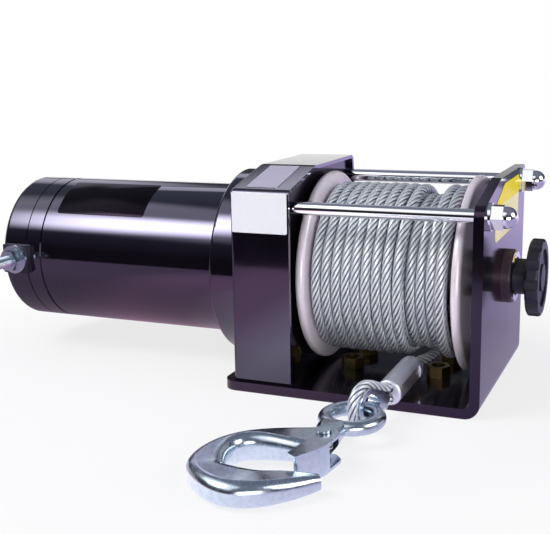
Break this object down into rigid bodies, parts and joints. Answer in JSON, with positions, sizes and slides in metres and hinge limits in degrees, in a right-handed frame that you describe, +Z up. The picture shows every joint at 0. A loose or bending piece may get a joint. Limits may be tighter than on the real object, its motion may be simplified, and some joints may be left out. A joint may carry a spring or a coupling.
{
  "type": "vehicle winch",
  "caption": "Electric vehicle winch: round motor, planetary gearbox under a hood, rope drum on a bent bracket with tie rods, clutch knob, wire rope and latched hook.",
  "frame": {"origin": "on the underside of the base, at the centre of its bolt pattern, below the drum axis and midway between the drum's flanges", "axes": "+X along the drum axis from the motor towards the clutch knob, -Y the front where the rope leaves, +Z up"},
  "size_m": [0.2802, 0.2342, 0.104],
  "materials": {
    "black_paint": "gloss",
    "satin_black": "satin",
    "drum_paint": "satin",
    "chrome": "polished",
    "yellow_zinc": "satin",
    "blue_zinc": "satin",
    "wire_rope": "galvanised",
    "steel": "machined",
    "iron": "laminated",
    "magnet": "matt",
    "copper": "wound",
    "bronze": "sintered",
    "die_cast": "cast",
    "ferrule": "pressed",
    "black_plastic": "matt",
    "dark_collar": "blackened",
    "carbon": "matt"
  },
  "bodies": {
    "frame": {"base_bracket": "satin_black", "base_nuts": "yellow_zinc", "frame_screws": "yellow_zinc", "tie_rods": "chrome", "rod_washers": "chrome", "acorn_nuts": "chrome", "gear_hood": "black_paint", "end_plate": "satin_black", "end_plate_screws": "yellow_zinc", "drum_bushes": "bronze", "gear_housing": "black_paint", "ring_gear": "steel", "motor_can": "black_paint", "motor_end_cap": "black_paint", "through_bolts": "satin_black", "motor_front_plate": "die_cast", "motor_bearings": "steel", "brush_plate": "black_plastic", "brushes": "carbon", "field_magnets": "magnet", "terminal_studs": "blue_zinc", "terminal_insulators": "black_plastic", "terminal_washers": "blue_zinc", "terminal_nuts": "blue_zinc", "clutch_collar": "dark_collar", "clutch_clip": "chrome", "clutch_spring": "steel", "rope_lead": "wire_rope", "ferrule": "ferrule", "rope_eye": "wire_rope", "thimble": "blue_zinc"},
    "drum": {"drum_barrel": "steel", "drum_flanges": "drum_paint", "rope_core": "wire_rope", "rope_winding": "wire_rope"},
    "armature": {"armature_shaft": "steel", "armature_core": "iron", "armature_windings": "copper", "commutator": "copper", "sun_gear": "steel"},
    "carrier_1": {"carrier_1": "steel"},
    "carrier_2": {"carrier_2": "steel"},
    "carrier_3": {"carrier_3": "steel", "drive_shaft": "steel"},
    "planet_1a": {"planet_1a": "steel"},
    "planet_1b": {"planet_1b": "steel"},
    "planet_1c": {"planet_1c": "steel"},
    "planet_2a": {"planet_2a": "steel"},
    "planet_2b": {"planet_2b": "steel"},
    "planet_2c": {"planet_2c": "steel"},
    "planet_3a": {"planet_3a": "steel"},
    "planet_3b": {"planet_3b": "steel"},
    "planet_3c": {"planet_3c": "steel"},
    "clutch_rod": {"clutch_rod": "steel"},
    "clutch_knob": {"clutch_knob": "black_plastic"},
    "clutch_dog": {"clutch_dog": "steel"},
    "hook": {"hook": "blue_zinc", "latch_pin": "blue_zinc", "latch_spring": "steel"},
    "latch": {"latch": "blue_zinc"}
  },
  "joints": [
    {"name": "drum_spin", "type": "hinge", "parent": "frame", "child": "drum", "pos_m": [0, 0, 0.053], "axis": [1, 0, 0], "continuous": true},
    {"name": "armature_spin", "type": "hinge", "parent": "frame", "child": "armature", "pos_m": [-0.14, 0, 0.053], "axis": [1, 0, 0], "continuous": true},
    {"name": "carrier_1_spin", "type": "hinge", "parent": "frame", "child": "carrier_1", "pos_m": [-0.073, 0, 0.053], "axis": [1, 0, 0], "continuous": true},
    {"name": "planet_1a_spin", "type": "hinge", "parent": "carrier_1", "child": "planet_1a", "pos_m": [-0.0778, 0.02063, 0.053], "axis": [1, 0, 0], "continuous": true},
    {"name": "planet_1b_spin", "type": "hinge", "parent": "carrier_1", "child": "planet_1b", "pos_m": [-0.0778, -0.01031, 0.07086], "axis": [1, 0, 0], "continuous": true},
    {"name": "planet_1c_spin", "type": "hinge", "parent": "carrier_1", "child": "planet_1c", "pos_m": [-0.0778, -0.01031, 0.03514], "axis": [1, 0, 0], "continuous": true},
    {"name": "carrier_2_spin", "type": "hinge", "parent": "frame", "child": "carrier_2", "pos_m": [-0.0624, 0, 0.053], "axis": [1, 0, 0], "continuous": true},
    {"name": "planet_2a_spin", "type": "hinge", "parent": "carrier_2", "child": "planet_2a", "pos_m": [-0.0678, 0.02063, 0.053], "axis": [1, 0, 0], "continuous": true},
    {"name": "planet_2b_spin", "type": "hinge", "parent": "carrier_2", "child": "planet_2b", "pos_m": [-0.0678, -0.01031, 0.07086], "axis": [1, 0, 0], "continuous": true},
    {"name": "planet_2c_spin", "type": "hinge", "parent": "carrier_2", "child": "planet_2c", "pos_m": [-0.0678, -0.01031, 0.03514], "axis": [1, 0, 0], "continuous": true},
    {"name": "carrier_3_spin", "type": "hinge", "parent": "frame", "child": "carrier_3", "pos_m": [-0.0495, 0, 0.053], "axis": [1, 0, 0], "continuous": true},
    {"name": "planet_3a_spin", "type": "hinge", "parent": "carrier_3", "child": "planet_3a", "pos_m": [-0.0562, 0.02063, 0.053], "axis": [1, 0, 0], "continuous": true},
    {"name": "planet_3b_spin", "type": "hinge", "parent": "carrier_3", "child": "planet_3b", "pos_m": [-0.0562, -0.01031, 0.07086], "axis": [1, 0, 0], "continuous": true},
    {"name": "planet_3c_spin", "type": "hinge", "parent": "carrier_3", "child": "planet_3c", "pos_m": [-0.0562, -0.01031, 0.03514], "axis": [1, 0, 0], "continuous": true},
    {"name": "clutch_slide", "type": "slide", "parent": "frame", "child": "clutch_rod", "axis": [1, 0, 0], "range_m": [-0.0058, 0], "deforming": ["clutch_spring"]},
    {"name": "knob_turn", "type": "hinge", "parent": "clutch_rod", "child": "clutch_knob", "pos_m": [0.0638, 0, 0.053], "axis": [1, 0, 0], "range_deg": [0, 90]},
    {"name": "dog_slide", "type": "slide", "parent": "carrier_3", "child": "clutch_dog", "axis": [1, 0, 0], "range_m": [-0.0058, 0]},
    {"name": "hook_swing", "type": "hinge", "parent": "frame", "child": "hook", "pos_m": [0.00639, -0.08077, 0.0094], "axis": [-0.9903, 0.139, 0], "range_deg": [0, 60]},
    {"name": "latch_swing", "type": "hinge", "parent": "hook", "child": "latch", "pos_m": [0.00337, -0.12072, 0.00779], "axis": [0.015, 0.0391, -0.9991], "range_deg": [0, 30], "stiffness_Nm_per_rad": 0.04, "springref_deg": -34.38, "deforming": ["latch_spring"]}
  ],
  "couplings": [
    {"joint": "carrier_1_spin", "follows": "armature_spin", "ratio": 0.18182},
    {"joint": "planet_1a_spin", "follows": "armature_spin", "ratio": -0.46753},
    {"joint": "planet_1b_spin", "follows": "armature_spin", "ratio": -0.46753},
    {"joint": "planet_1c_spin", "follows": "armature_spin", "ratio": -0.46753},
    {"joint": "carrier_2_spin", "follows": "armature_spin", "ratio": 0.033058},
    {"joint": "planet_2a_spin", "follows": "armature_spin", "ratio": -0.085006},
    {"joint": "planet_2b_spin", "follows": "armature_spin", "ratio": -0.085006},
    {"joint": "planet_2c_spin", "follows": "armature_spin", "ratio": -0.085006},
    {"joint": "carrier_3_spin", "follows": "armature_spin", "ratio": 0.0060105},
    {"joint": "planet_3a_spin", "follows": "armature_spin", "ratio": -0.015456},
    {"joint": "planet_3b_spin", "follows": "armature_spin", "ratio": -0.015456},
    {"joint": "planet_3c_spin", "follows": "armature_spin", "ratio": -0.015456},
    {"joint": "dog_slide", "follows": "clutch_slide", "ratio": 1}
  ]
}
